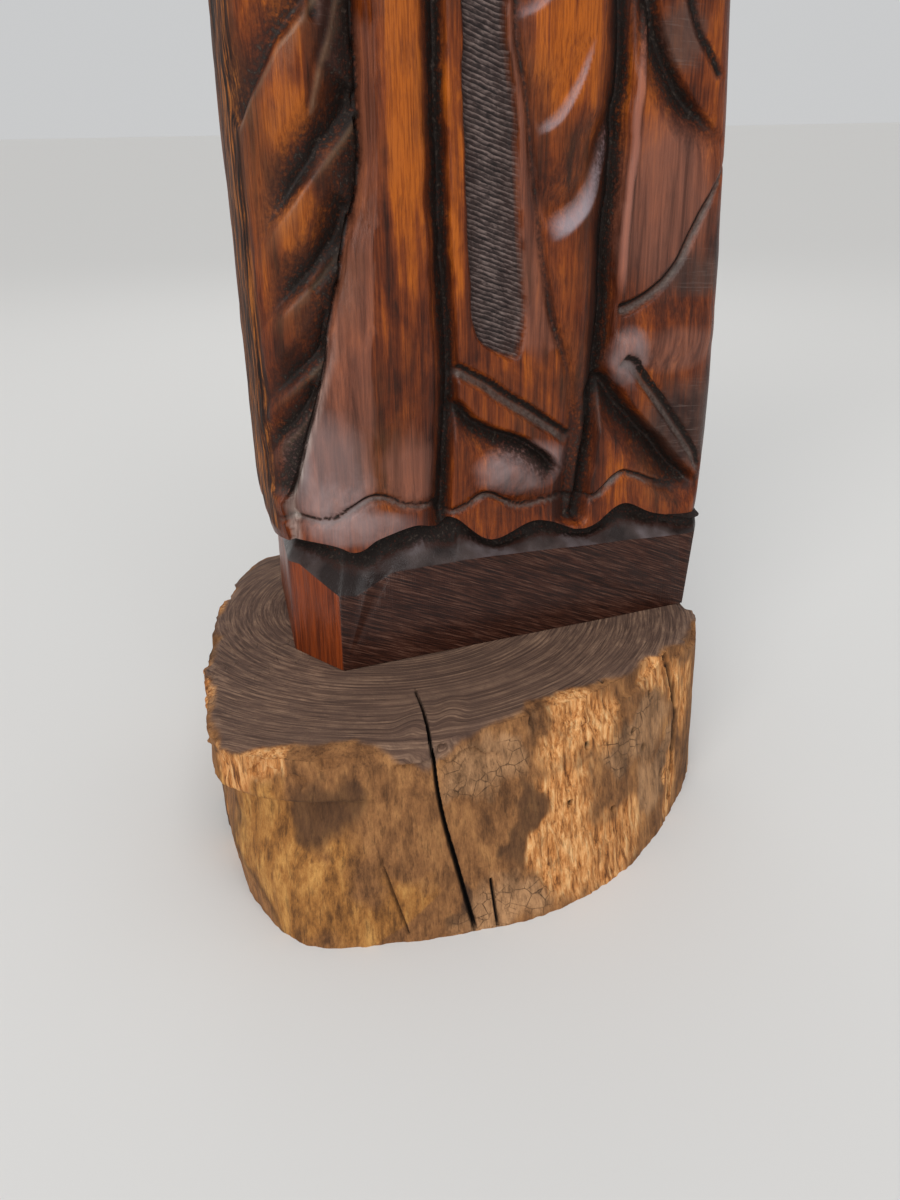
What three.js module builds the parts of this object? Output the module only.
// A carved wooden saint, one solid with its block, standing on a slice of tree trunk.
// Millimetres, +Z up. The figure faces -Y, and the origin is on the floor under the middle of the trunk.
import * as THREE from "three";

// Driving dimensions
const TRUNK_WIDTH = 352;
const TRUNK_DEPTH = 340;
const TRUNK_TOP = 120;
const JOINT_GAP = 0.3;
const BLOCK_TOP = 176;
const HEM = 195;
const KNEE = 300;
const THIGH = 480;
const WAIST = 690;
const CHEST = 812;
const SHOULDER = 862;
const CHIN = 926;
const EYES = 988;
const CROWN = 1060;
const HEAD_X = 12;
const BODY_MIDDLE = -6;

// The squared log that the figure is cut from, and the x of the line that u is measured from.
// A chamfer is given by its reach along the side before the corner and along the side after it.
const LOG = { left: -120, right: 164, front: -46, back: 119 };
const FRONT_MIDDLE = 20;
const CORNERS = {
  frontRight: { radius: 16, chamfer: [9, 9] },
  backRight: { radius: 35, chamfer: [20, 20] },
  backLeft: { radius: 35, chamfer: [20, 20] },
  frontLeft: { radius: 42, chamfer: [40, 27] },
};

// Mesh density
const CARVED_HALF_WIDTH = 154;
const CHAMFER_REAR = 162;
const PLAIN_COLUMNS = 14;
const ROUTE_STEPS = 24;
const TRUNK_COLUMNS = 48;
const TRUNK_SIDE_ROWS = 6;
const TRUNK_TOP_RINGS = [0.86, 0.55];

const { clamp, lerp, smoothstep } = THREE.MathUtils;

// The log's outline as straight sides and round corners, anticlockwise from the middle of the front
function logOutline() {
  const { left, right, front, back } = LOG;
  const corners = [
    { x: right, y: front, ...CORNERS.frontRight, sx: -1, sy: 1, angle: -Math.PI / 2 },
    { x: right, y: back, ...CORNERS.backRight, sx: -1, sy: -1, angle: 0 },
    { x: left, y: back, ...CORNERS.backLeft, sx: 1, sy: -1, angle: Math.PI / 2 },
    { x: left, y: front, ...CORNERS.frontLeft, sx: 1, sy: 1, angle: Math.PI },
  ];
  const pieces = [];
  let pen = new THREE.Vector2(FRONT_MIDDLE, front);
  for (const { x, y, radius, chamfer, sx, sy, angle } of corners) {
    const centre = new THREE.Vector2(x + sx * radius, y + sy * radius);
    const onArc = (turn) => new THREE.Vector2(radius, 0).rotateAround(new THREE.Vector2(), turn).add(centre);
    const from = onArc(angle);
    const to = onArc(angle + Math.PI / 2);
    const corner = new THREE.Vector2(x, y);
    const before = corner.clone().lerp(from, chamfer[0] / radius);
    const after = corner.clone().lerp(to, chamfer[1] / radius);
    const whole = from.distanceTo(before) + before.distanceTo(after) + after.distanceTo(to);
    const lead = from.distanceTo(before) / whole;
    const tail = after.distanceTo(to) / whole;
    const length = (radius * Math.PI) / 2;
    pieces.push({ from: pen, to: from, angle, sweep: 0, length: pen.distanceTo(from) });
    pieces.push({ from, before, after, to, lead, tail, angle, sweep: Math.PI / 2, onArc, length });
    pen = to;
  }
  const home = new THREE.Vector2(FRONT_MIDDLE, front);
  pieces.push({ from: pen, to: home, angle: -Math.PI / 2, sweep: 0, length: pen.distanceTo(home) });
  return pieces;
}

const OUTLINE = logOutline();
const PERIMETER = OUTLINE.reduce((sum, piece) => sum + piece.length, 0);

// A place along one piece of the outline, with a corner's tip cut off straight
function chamferedPoint({ from, before, after, to, lead, tail, onArc }, share) {
  if (!onArc) return from.clone().lerp(to, share);
  if (share < lead) return from.clone().lerp(before, share / lead);
  if (share > 1 - tail) return after.clone().lerp(to, (share - 1 + tail) / tail);
  return before.clone().lerp(after, (share - lead) / (1 - lead - tail));
}

// Place and outward normal at u along the outline: once with round corners, once with them cut straight
function logPoint(u) {
  let rest = (u + PERIMETER) % PERIMETER;
  let index = 0;
  while (index < OUTLINE.length - 1 && rest > OUTLINE[index].length) rest -= OUTLINE[index++].length;
  const piece = OUTLINE[index];
  const share = rest / piece.length;
  const turn = piece.angle + piece.sweep * share;
  const chamfer = chamferedPoint(piece, share);
  return {
    chamfer,
    round: piece.onArc ? piece.onArc(turn) : chamfer,
    normal: new THREE.Vector2(Math.cos(turn), Math.sin(turn)),
  };
}

// Sections from the underside of the block to the crown. oval turns the squared log into a round form,
// chamfer cuts its corners straight, wave makes the section follow the hem, edge the block's broken rim,
// carve lets the folds in, and taper is how much narrower the back is than the front.
const BLOCK = { left: -111, right: 164, front: -53, back: 115, oval: 0, chamfer: 1, wave: 0, edge: 0, carve: 0, taper: 0.2 };
const ROBE = { left: -119, right: 174, front: -46, back: 117, oval: 0, chamfer: 0, wave: 0, edge: 0, carve: 1, taper: 0.17 };
const HEAD = { oval: 1, chamfer: 0, wave: 0, edge: 0, carve: 1, taper: 0 };
const headSection = (halfWidth, front, back) => ({
  ...HEAD,
  left: HEAD_X - halfWidth,
  right: HEAD_X + halfWidth,
  front,
  back,
});
const STATIONS = [
  { ...BLOCK, z: TRUNK_TOP + JOINT_GAP, rows: 1 },
  { ...BLOCK, z: BLOCK_TOP, right: 169, edge: 1, rows: 1 },
  { ...BLOCK, z: HEM - 9, left: -103, right: 160, front: -39, back: 112, wave: 0.8, rows: 1 },
  { ...ROBE, z: HEM + 2, left: -107, right: 161, front: -37, back: 113, wave: 1, carve: 0, rows: 1 },
  { ...ROBE, z: HEM, left: -116, right: 171, front: -47, wave: 1, carve: 0.7, rows: 2 },
  { ...ROBE, z: HEM + 20, wave: 1, rows: 8 },
  { ...ROBE, z: KNEE, left: -120, right: 175, rows: 15 },
  { ...ROBE, z: THIGH, left: -120, right: 167, back: 118, rows: 11 },
  { ...ROBE, z: WAIST, left: -116, right: 152, front: -42, back: 117, rows: 9 },
  { ...ROBE, z: CHEST, left: -114, right: 140, front: -26, back: 114, rows: 4 },
  { ...ROBE, z: SHOULDER, left: -100, right: 126, front: -10, back: 109, oval: 0.45, taper: 0.08, rows: 2 },
  { ...headSection(66, 4, 106), z: SHOULDER + 26, oval: 0.85, rows: 1 },
  { ...headSection(58, 9, 103), z: CHIN - 24, rows: 1 },
  { ...headSection(57, 6, 102), z: CHIN - 9, rows: 1 },
  { ...headSection(57, -4, 102), z: CHIN, rows: 3 },
  { ...headSection(57, -9, 102), z: CHIN + 20, rows: 7 },
  { ...headSection(56, -11, 103), z: EYES, rows: 4 },
  { ...headSection(55, -9, 102), z: EYES + 20, rows: 2 },
  { ...headSection(49, -1, 95), z: CROWN - 30, rows: 2 },
  { ...headSection(35, 14, 80), z: CROWN - 12, rows: 1 },
  { ...headSection(15, 32, 61), z: CROWN - 2, rows: 0 },
];
const SMOOTH_FROM = 4;
const SECTION_KEYS = ["z", "left", "right", "front", "back", "oval", "chamfer", "wave", "edge", "carve", "taper"];

// Catmull-Rom between the stations above the hem, straight lines below it
function sectionBetween(index, share) {
  const at = (i) => STATIONS[clamp(i, SMOOTH_FROM, STATIONS.length - 1)];
  const section = {};
  for (const key of SECTION_KEYS) {
    const a = STATIONS[index][key];
    const b = STATIONS[index + 1][key];
    const slopeA = (b - at(index - 1)[key]) / 2;
    const slopeB = (at(index + 2)[key] - a) / 2;
    const t2 = share * share;
    const t3 = t2 * share;
    const curved = (2 * t3 - 3 * t2 + 1) * a + (t3 - 2 * t2 + share) * slopeA;
    const smooth = curved + (3 * t2 - 2 * t3) * b + (t3 - t2) * slopeB;
    section[key] = index < SMOOTH_FROM ? lerp(a, b, share) : smooth;
  }
  return section;
}

function sectionRows() {
  const rows = [];
  STATIONS.forEach((station, index) => {
    for (let i = 0; i < station.rows; i++) rows.push(sectionBetween(index, i / station.rows));
  });
  rows.push(STATIONS[STATIONS.length - 1]);
  return rows;
}

// Carving routes are drawn on the unrolled surface: u across, z up
function route(points) {
  const curve = new THREE.SplineCurve(points.map(([u, z]) => new THREE.Vector2(u, z)));
  return curve.getPoints(ROUTE_STEPS);
}

const mirrored = (points) => points.map(([u, z]) => [2 * BODY_MIDDLE - u, z]);

// The lower edge of the robe, as its rise above the level of the hem
const HEM_WAVE = route([
  [-240, 0], [-124, 5], [-96, -2], [-82, 5], [-60, 10], [-42, 5], [-34, 10], [-10, -8],
  [20, 0], [48, -10], [62, -9], [82, 2], [108, -9], [150, -14], [260, 0],
]);
const hemRise = (u) => acrossAt(HEM_WAVE, u);

// The block's broken upper rim, as its rise above the level of the block's top
const BLOCK_EDGE = [
  [-240, 0], [-150, 5], [-104, -10], [-80, 2], [-14, 2], [75, -3], [130, -6], [180, 0],
].map(([u, rise]) => new THREE.Vector2(u, rise));
const blockRise = (u) => acrossAt(BLOCK_EDGE, u);

// A route read as a function of u, or of z where it runs up and down
function acrossAt(path, u) {
  const i = clamp(path.findIndex((p) => p.x >= u), 1, path.length - 1);
  const share = clamp((u - path[i - 1].x) / (path[i].x - path[i - 1].x), 0, 1);
  return u > path[path.length - 1].x ? path[path.length - 1].y : lerp(path[i - 1].y, path[i].y, share);
}
function uprightAt(path, z) {
  const i = clamp(path.findIndex((p) => p.y <= z), 1, path.length - 1);
  const share = clamp((z - path[i - 1].y) / (path[i].y - path[i - 1].y), 0, 1);
  return z < path[path.length - 1].y ? path[path.length - 1].x : lerp(path[i - 1].x, path[i].x, share);
}

// Edges of the tunic's upright folds, from the waist down
const TUNIC_EDGE = route([[-72, 710], [-73, 560], [-75, 450], [-77, 400], [-88, 357], [-104, 298], [-122, 255], [-138, 222]]);
const FOLD_CREASE = route([[-66, 710], [-69, 440], [-75, 350], [-79, 290], [-84, 200]]);
const LEFT_FURROW = route([[-33, 705], [-34, 475], [-35, 380], [-33, 295], [-37, 234], [-40, 185]]);
const PANEL_LEFT = route([[-23, 700], [-22, 475], [-23, 400], [-21, 330], [-19, 314], [-13, 305], [2, 296]]);
const PANEL_RIGHT = route([[0, 700], [3, 476], [7, 430], [10, 370], [12, 330], [11, 308], [8, 295]]);
const RIGHT_CREASE = route([[4, 700], [8, 476], [12, 434], [19, 380], [26, 328], [38, 283], [44, 258]]);
const RIGHT_FURROW = route([[74, 705], [73, 477], [69, 416], [65, 360], [63, 311], [58, 262], [50, 185]]);

// A cut along a route: left and right are its widths on either hand, walking the route
const cut = (points, depth, left, right, options = {}) => ({
  path: points[0].isVector2 ? points : route(points),
  depth: Array.isArray(depth) ? depth : [depth, depth],
  left,
  right,
  round: false,
  ends: [0.12, 0.12],
  ...options,
});

// The mantle falls from the arms in slanting folds that start at these heights on the tunic's edges
const LEFT_MANTLE_FOLDS = [660, 602, 545, 488, 432, 376, 322, 288];
const RIGHT_MANTLE_FOLDS = [668, 606, 545];
const MANTLE_FOLD_RUN = 58;
const MANTLE_FOLD_DROP = 58;
function mantleFold(edge, height, way, depth) {
  const start = uprightAt(edge, height) + way * 6;
  return cut(
    [
      [start, height],
      [start + way * 0.35 * MANTLE_FOLD_RUN, height - 0.3 * MANTLE_FOLD_DROP],
      [start + way * MANTLE_FOLD_RUN, height - MANTLE_FOLD_DROP],
    ],
    [depth, 0.6 * depth],
    8,
    22,
    { ends: [0.05, 0.3] },
  );
}

const GOUGE = { round: true, ends: [0.06, 0.06] };
const CUTS = [
  cut(TUNIC_EDGE, [22, 7], 5, 44, { ends: [0.1, 0.05] }),
  cut(LEFT_FURROW, 13, 6, 6, { ends: [0.05, 0.02] }),
  cut(RIGHT_CREASE, 5, 4, 4),
  cut(RIGHT_FURROW, [15, 19], 7, 11, { ends: [0.05, 0.02] }),
  ...LEFT_MANTLE_FOLDS.map((height) => mantleFold(TUNIC_EDGE, height, -1, 14)),
  ...RIGHT_MANTLE_FOLDS.map((height) => mantleFold(RIGHT_FURROW, height, 1, 12)),
  // Right side of the mantle: an overlap, two long gouges and the hollow under its last turn
  cut([[86, 492], [90, 470], [97, 452], [124, 417], [154, 392]], 13, 7, 20),
  cut([[110, 482], [118, 464], [133, 440]], 5, 4, 5),
  cut([[152, 404], [128, 378], [108, 342], [95, 328], [70, 318]], 5, 4.5, 4.5, GOUGE),
  cut([[76, 288], [96, 271], [126, 240], [156, 214]], 5, 4.5, 4.5, GOUGE),
  cut([[63, 282], [91, 246], [121, 214], [142, 198]], 18, 7, 24),
  // Spoon cuts on the right fold, and the gouge and hollow above the hem
  cut([[60, 448], [34, 424], [22, 414]], 4, 8, 14),
  cut([[66, 403], [56, 383], [34, 355], [23, 350]], 8, 9, 18),
  cut([[-32, 293], [-20, 287], [0, 273], [20, 258], [42, 242]], 5, 4.5, 4.5, GOUGE),
  cut([[-33, 277], [-8, 255], [10, 247], [38, 222]], [12, 15], 6, 16),
  // The mantle's edges on the chest, the collar, and folds over chest and shoulders
  ...[(p) => p, mirrored].flatMap((side, i) => [
    cut(side([[-36, 886], [-58, 850], [-80, 800], [-92, 742]]), 10, i ? 4 : 26, i ? 26 : 4),
    cut(side([[-60, 868], [-104, 822], [-126, 752]]), 7, 9, 9),
    cut(side([[-84, 872], [-128, 832], [-150, 770]]), 6, 9, 9),
    cut(side([[-44, 852], [-26, 832], [-10, 822]]), 4, 7, 7),
  ]),
  cut([[-40, 893], [-24, 878], [BODY_MIDDLE, 872], [12, 878], [28, 893]], 5, 4, 4),
];

// Round folds between two edges, and low swellings
const FOLDS = [
  { left: FOLD_CREASE, right: LEFT_FURROW, height: 3 },
  { left: RIGHT_CREASE, right: RIGHT_FURROW, height: 7 },
];
const PANEL_DEPTH = 7;
const PANEL_WALL = 5;
const FLANK_DEPTH = 10;
const SWELLINGS = [
  { u: 8, z: 228, across: 38, up: 20, height: 6 },
  { u: 104, z: 302, across: 44, up: 26, height: 5 },
  { u: -86, z: 208, across: 46, up: 30, height: 5 },
];

function between(left, right, u, z) {
  const from = uprightAt(left, z);
  const to = uprightAt(right, z);
  return to - from < 1 ? 2 : (2 * (u - from)) / (to - from) - 1;
}

function nearestOn(path, u, z) {
  let best = { distance: Infinity, side: 1, along: 0 };
  for (let i = 0; i + 1 < path.length; i++) {
    const du = path[i + 1].x - path[i].x;
    const dz = path[i + 1].y - path[i].y;
    const t = clamp(((u - path[i].x) * du + (z - path[i].y) * dz) / (du * du + dz * dz), 0, 1);
    const ru = u - path[i].x - t * du;
    const rz = z - path[i].y - t * dz;
    const distance = Math.hypot(ru, rz);
    if (distance < best.distance) {
      best = { distance, side: du * rz - dz * ru, along: (i + t) / (path.length - 1) };
    }
  }
  return best;
}

function cutDepth({ path, depth, left, right, round, ends }, u, z) {
  const { distance, side, along } = nearestOn(path, u, z);
  const reach = distance / (side >= 0 ? left : right);
  if (reach >= 1) return 0;
  const taper = smoothstep(along, 0, ends[0]) * smoothstep(1 - along, 0, ends[1]);
  const section = round ? Math.sqrt(1 - reach * reach) : (1 - reach) ** 1.4;
  return lerp(depth[0], depth[1], along) * taper * section;
}

function drapery(u, z) {
  let out = 0;
  for (const one of CUTS) out -= cutDepth(one, u, z);
  const skirt = smoothstep(z, HEM - 20, HEM + 20) * (1 - smoothstep(z, WAIST - 30, WAIST + 20));
  for (const { left, right, height } of FOLDS) {
    const q = between(left, right, u, z);
    out += skirt * height * Math.max(0, 1 - q * q);
  }
  const flank = between(TUNIC_EDGE, FOLD_CREASE, u, z);
  if (Math.abs(flank) <= 1) out -= (skirt * FLANK_DEPTH * (1 - flank)) / 2;
  const panelLeft = u - uprightAt(PANEL_LEFT, z);
  const panelRight = uprightAt(PANEL_RIGHT, z) - u;
  const panel = smoothstep(Math.min(panelLeft, panelRight), 0, PANEL_WALL);
  if (z > PANEL_LEFT[ROUTE_STEPS].y) out -= skirt * PANEL_DEPTH * panel;
  for (const { u: middle, z: level, across, up, height } of SWELLINGS) {
    const q = ((u - middle) / across) ** 2 + ((z - level) / up) ** 2;
    out += height * Math.max(0, 1 - q) ** 2;
  }
  return out;
}

// Sleeves, and the hands laid palm to palm, as round limbs that stand out from the chest
const WRIST = 758;
const FINGERTIPS = 848;
const limb = (points, radii, heights) => ({ path: route(points), radii, heights });
const LIMBS = [
  ...[(p) => p, mirrored].flatMap((side) => [
    limb(side([[-122, 706], [-92, 712], [-58, 730], [-26, WRIST]]), [34, 22], [8, 20]),
    limb(side([[-30, WRIST - 6], [-38, 726], [-50, 694]]), [22, 12], [18, 7]),
  ]),
  limb([[BODY_MIDDLE, WRIST - 6], [BODY_MIDDLE, (WRIST + FINGERTIPS) / 2], [BODY_MIDDLE, FINGERTIPS]], [23, 9], [28, 20]),
];
const PALM_LINE = cut([[BODY_MIDDLE, FINGERTIPS + 6], [BODY_MIDDLE, WRIST - 20]], 6, 5, 5);

function limbRelief(u, z) {
  let height = 0;
  let cover = 0;
  for (const { path, radii, heights } of LIMBS) {
    const { distance, along } = nearestOn(path, u, z);
    const q = distance / lerp(radii[0], radii[1], along);
    if (q >= 1) continue;
    height = Math.max(height, lerp(heights[0], heights[1], along) * Math.sqrt(1 - q * q));
    cover = Math.max(cover, smoothstep(1 - q, 0, 0.3));
  }
  return { height: height - cover * cutDepth(PALM_LINE, u, z), cover };
}

// Face, hair and beard, by the distance e across from the middle of the head
const bump = (e, z, across, up) => Math.max(0, 1 - (e / across) ** 2 - (z / up) ** 2);
const FACE_HALF_WIDTH = 35;
const FACE_LOW = CHIN - 8;
const FACE_HIGH = EYES + 36;
function faceRelief(e, z) {
  const side = Math.abs(e);
  const noseShare = clamp((EYES + 2 - z) / 32, 0, 1);
  const noseTip = z > EYES - 32 ? 1 : smoothstep(z, EYES - 37, EYES - 32);
  let out = noseTip * (3 + 11 * noseShare) * Math.max(0, 1 - side / (5 + 4 * noseShare));
  out -= 7 * bump(side - 17, z - EYES, 15, 11);
  out += 6 * bump(side - 17, z - EYES + 1, 11, 7);
  out += 3 * bump(side - 15, z - EYES - 13, 18, 6);
  out += 3 * bump(side - 24, z - EYES + 20, 13, 14);
  out += 4 * bump(e, z - CHIN - 20, 15, 4) + 4 * bump(e, z - CHIN - 12, 12, 4);
  out += 11 * bump(e, z - CHIN + 2, 27, 24) ** 0.7;
  const middle = (FACE_LOW + FACE_HIGH) / 2;
  const rim = Math.hypot(e / FACE_HALF_WIDTH, (z - middle) / (FACE_HIGH - middle));
  return lerp(out, 6, smoothstep(rim, 0.95, 1.15));
}

// Broad upright folds on the plain back
const BACK_FOLD_DEPTH = 4;
const BACK_FOLDS = 5;
function backFolds(u, z) {
  const behind = smoothstep(Math.abs(u), 250, 290) * smoothstep(z, HEM, KNEE);
  const phase = (Math.abs(u) / PERIMETER) * 2 * Math.PI * BACK_FOLDS * 2;
  return -behind * BACK_FOLD_DEPTH * (0.5 + 0.5 * Math.cos(phase)) * (1 - smoothstep(z, CHEST, SHOULDER));
}

function figurePoint(u, section) {
  const { left, right, front, back, oval, chamfer, wave, edge, carve, taper } = section;
  const z = section.z + wave * hemRise(u) + edge * blockRise(u);
  const { round, chamfer: straight, normal } = logPoint(u);
  const box = round.clone().lerp(straight, chamfer);
  const turn = (2 * Math.PI * u) / PERIMETER;
  const circle = new THREE.Vector2(Math.sin(turn), -Math.cos(turn));
  const unitY = (2 * box.y - LOG.front - LOG.back) / (LOG.back - LOG.front);
  const narrowing = 1 - (taper * (unitY + 1)) / 2;
  const unitX = (narrowing * (2 * box.x - LOG.left - LOG.right)) / (LOG.right - LOG.left);
  const x = (left + right) / 2 + (lerp(unitX, circle.x, oval) * (right - left)) / 2;
  const y = (front + back) / 2 + (lerp(unitY, circle.y, oval) * (back - front)) / 2;
  const out = normal.lerp(circle, oval).normalize();
  const headShare = smoothstep(z, CHIN - 30, CHIN - 12);
  const { height, cover } = limbRelief(u, z);
  const body = (drapery(u, z) + backFolds(u, z)) * (1 - cover) + height;
  const facing = circle.y < 0 ? faceRelief(x - HEAD_X, z) : 6;
  const relief = carve * lerp(body, facing * (1 - smoothstep(z, CROWN - 34, CROWN - 6)), headShare);
  return new THREE.Vector3(x + out.x * relief, y + out.y * relief, z);
}

// A closed skin over rings of equal length, with a point at each end, faces pointing out
function skinOver(rings, first, last) {
  const count = rings[0].length;
  const points = [first, ...rings.flat(), last];
  const at = (row, column) => 1 + row * count + (column % count);
  const faces = [];
  for (let c = 0; c < count; c++) faces.push(0, at(0, c + 1), at(0, c));
  for (let r = 0; r + 1 < rings.length; r++) {
    for (let c = 0; c < count; c++) {
      const [a, b, d, e] = [at(r, c), at(r, c + 1), at(r + 1, c), at(r + 1, c + 1)];
      const falling = points[a].distanceTo(points[e]) > points[b].distanceTo(points[d]);
      faces.push(...(falling ? [a, b, d, b, e, d] : [a, b, e, a, e, d]));
    }
  }
  const end = points.length - 1;
  for (let c = 0; c < count; c++) faces.push(at(rings.length - 1, c), at(rings.length - 1, c + 1), end);
  const geometry = new THREE.BufferGeometry().setFromPoints(points);
  geometry.setIndex(faces);
  geometry.computeVertexNormals();
  return geometry;
}

// Columns follow the edges of the skirt's folds, then the middle of the chest; they stand apart elsewhere
const COLUMN_COUNTS = [9, 1, 3, 3, 1, 1, 1, 3, 1, 1, 5, 2, 1, 10];
const CHEST_COLUMNS = [-148, -74, -66, -52, -36, -28, -20, -11, -5, 0, 5, 20, 36, 52, 160];
function columnPlaces(z) {
  const tunic = uprightAt(TUNIC_EDGE, z);
  const leftFurrow = uprightAt(LEFT_FURROW, z);
  const rightFurrow = uprightAt(RIGHT_FURROW, z);
  const crease = Math.min(uprightAt(RIGHT_CREASE, z), rightFurrow - 20);
  const skirt = [
    -CARVED_HALF_WIDTH, tunic, tunic + 5, uprightAt(FOLD_CREASE, z),
    leftFurrow - 6, leftFurrow, leftFurrow + 6, leftFurrow + 13,
    crease - 5, crease, crease + 4,
    rightFurrow - 11, rightFurrow, rightFurrow + 7, CARVED_HALF_WIDTH,
  ];
  const chest = smoothstep(z, WAIST, WAIST + 50);
  const anchors = skirt.map((u, i) => lerp(u, CHEST_COLUMNS[i] + BODY_MIDDLE, chest));
  const places = [];
  COLUMN_COUNTS.forEach((count, i) => {
    for (let k = 0; k < count; k++) places.push(lerp(anchors[i], anchors[i + 1], k / count));
  });
  const plain = PERIMETER - CARVED_HALF_WIDTH - CHAMFER_REAR;
  for (let i = 0; i <= PLAIN_COLUMNS; i++) {
    const u = CARVED_HALF_WIDTH + (i * plain) / PLAIN_COLUMNS;
    places.push(u > PERIMETER / 2 ? u - PERIMETER : u);
  }
  return places;
}

function figureGeometry() {
  const rings = sectionRows().map((section) => columnPlaces(section.z).map((u) => figurePoint(u, section)));
  const under = new THREE.Vector3((BLOCK.left + BLOCK.right) / 2, (BLOCK.front + BLOCK.back) / 2, STATIONS[0].z);
  const top = new THREE.Vector3(HEAD_X, (LOG.front + LOG.back) / 2 + 9, CROWN);
  return skinOver(rings, under, top);
}

// Radius of the trunk's upper and lower rim at equal bearings, from the back round by the left, front and right
const TOP_RADII = [
  172, 173, 172, 162, 154, 150, 158, 173, 197, 187, 166, 147, 138, 142, 144, 153, 170, 171, 174, 178, 182, 183, 180, 174,
];
const LOW_RADII = [
  170, 170, 168, 160, 153, 154, 156, 163, 181, 193, 181, 171, 167, 165, 161, 164, 172, 180, 179, 176, 178, 180, 178, 173,
];
const NOTCH = { bearing: -1.05, height: 86, across: 0.42, up: 14, depth: 10 };
const SCOOP = { x: -82, y: -168, reach: 46, depth: 11 };

function rimRadius(radii, bearing) {
  const place = ((bearing + Math.PI) / (2 * Math.PI)) * radii.length;
  const i = Math.floor(place);
  const pick = (k) => radii[(i + k + 2 * radii.length) % radii.length];
  const t = place - i;
  const [a, b, c, d] = [pick(-1), pick(0), pick(1), pick(2)];
  return b + 0.5 * t * (c - a + t * (2 * a - 5 * b + 4 * c - d + t * (3 * (b - c) + d - a)));
}

// Stretches a rim to the trunk's width and depth, with its box centred on the origin
function rimStretch() {
  const box = new THREE.Box2();
  for (let degree = 0; degree < 360; degree++) {
    const bearing = THREE.MathUtils.degToRad(degree - 180);
    for (const radii of [TOP_RADII, LOW_RADII]) {
      const r = rimRadius(radii, bearing);
      box.expandByPoint(new THREE.Vector2(r * Math.sin(bearing), -r * Math.cos(bearing)));
    }
  }
  const size = box.getSize(new THREE.Vector2());
  return { middle: box.getCenter(new THREE.Vector2()), x: TRUNK_WIDTH / size.x, y: TRUNK_DEPTH / size.y };
}
const STRETCH = rimStretch();

function trunkPoint(bearing, height, inward = 1) {
  const share = height / TRUNK_TOP;
  const angle = Math.atan2(Math.sin(bearing - NOTCH.bearing), Math.cos(bearing - NOTCH.bearing));
  const notch = bump(angle, height - NOTCH.height, NOTCH.across, NOTCH.up);
  const radius = lerp(rimRadius(LOW_RADII, bearing), rimRadius(TOP_RADII, bearing), share) - NOTCH.depth * notch;
  const x = (inward * radius * Math.sin(bearing) - STRETCH.middle.x) * STRETCH.x;
  const y = (-inward * radius * Math.cos(bearing) - STRETCH.middle.y) * STRETCH.y;
  const scooped = Math.max(0, 1 - Math.hypot(x - SCOOP.x, y - SCOOP.y) / SCOOP.reach) ** 1.5;
  return new THREE.Vector3(x, y, height - share * SCOOP.depth * scooped);
}

function trunkGeometry() {
  const bearings = Array.from({ length: TRUNK_COLUMNS }, (_, i) => (2 * Math.PI * i) / TRUNK_COLUMNS - Math.PI);
  const ring = (height, inward) => bearings.map((bearing) => trunkPoint(bearing, height, inward));
  const rings = [];
  for (let i = 0; i <= TRUNK_SIDE_ROWS; i++) rings.push(ring((TRUNK_TOP * i) / TRUNK_SIDE_ROWS, 1));
  for (const inward of TRUNK_TOP_RINGS) rings.push(ring(TRUNK_TOP, inward));
  return skinOver(rings, trunkPoint(0, 0, 0), trunkPoint(0, TRUNK_TOP, 0));
}

const carvedWood = new THREE.MeshStandardMaterial({ color: 0x6b3218, roughness: 0.38, metalness: 0 });
const trunkWood = new THREE.MeshStandardMaterial({ color: 0x7a5632, roughness: 0.85, metalness: 0 });

const statue = new THREE.Group();
const figure = new THREE.Mesh(figureGeometry(), carvedWood);
figure.name = "saint_figure";
const trunk = new THREE.Mesh(trunkGeometry(), trunkWood);
trunk.name = "trunk_base";
statue.add(trunk, figure);

export default statue;
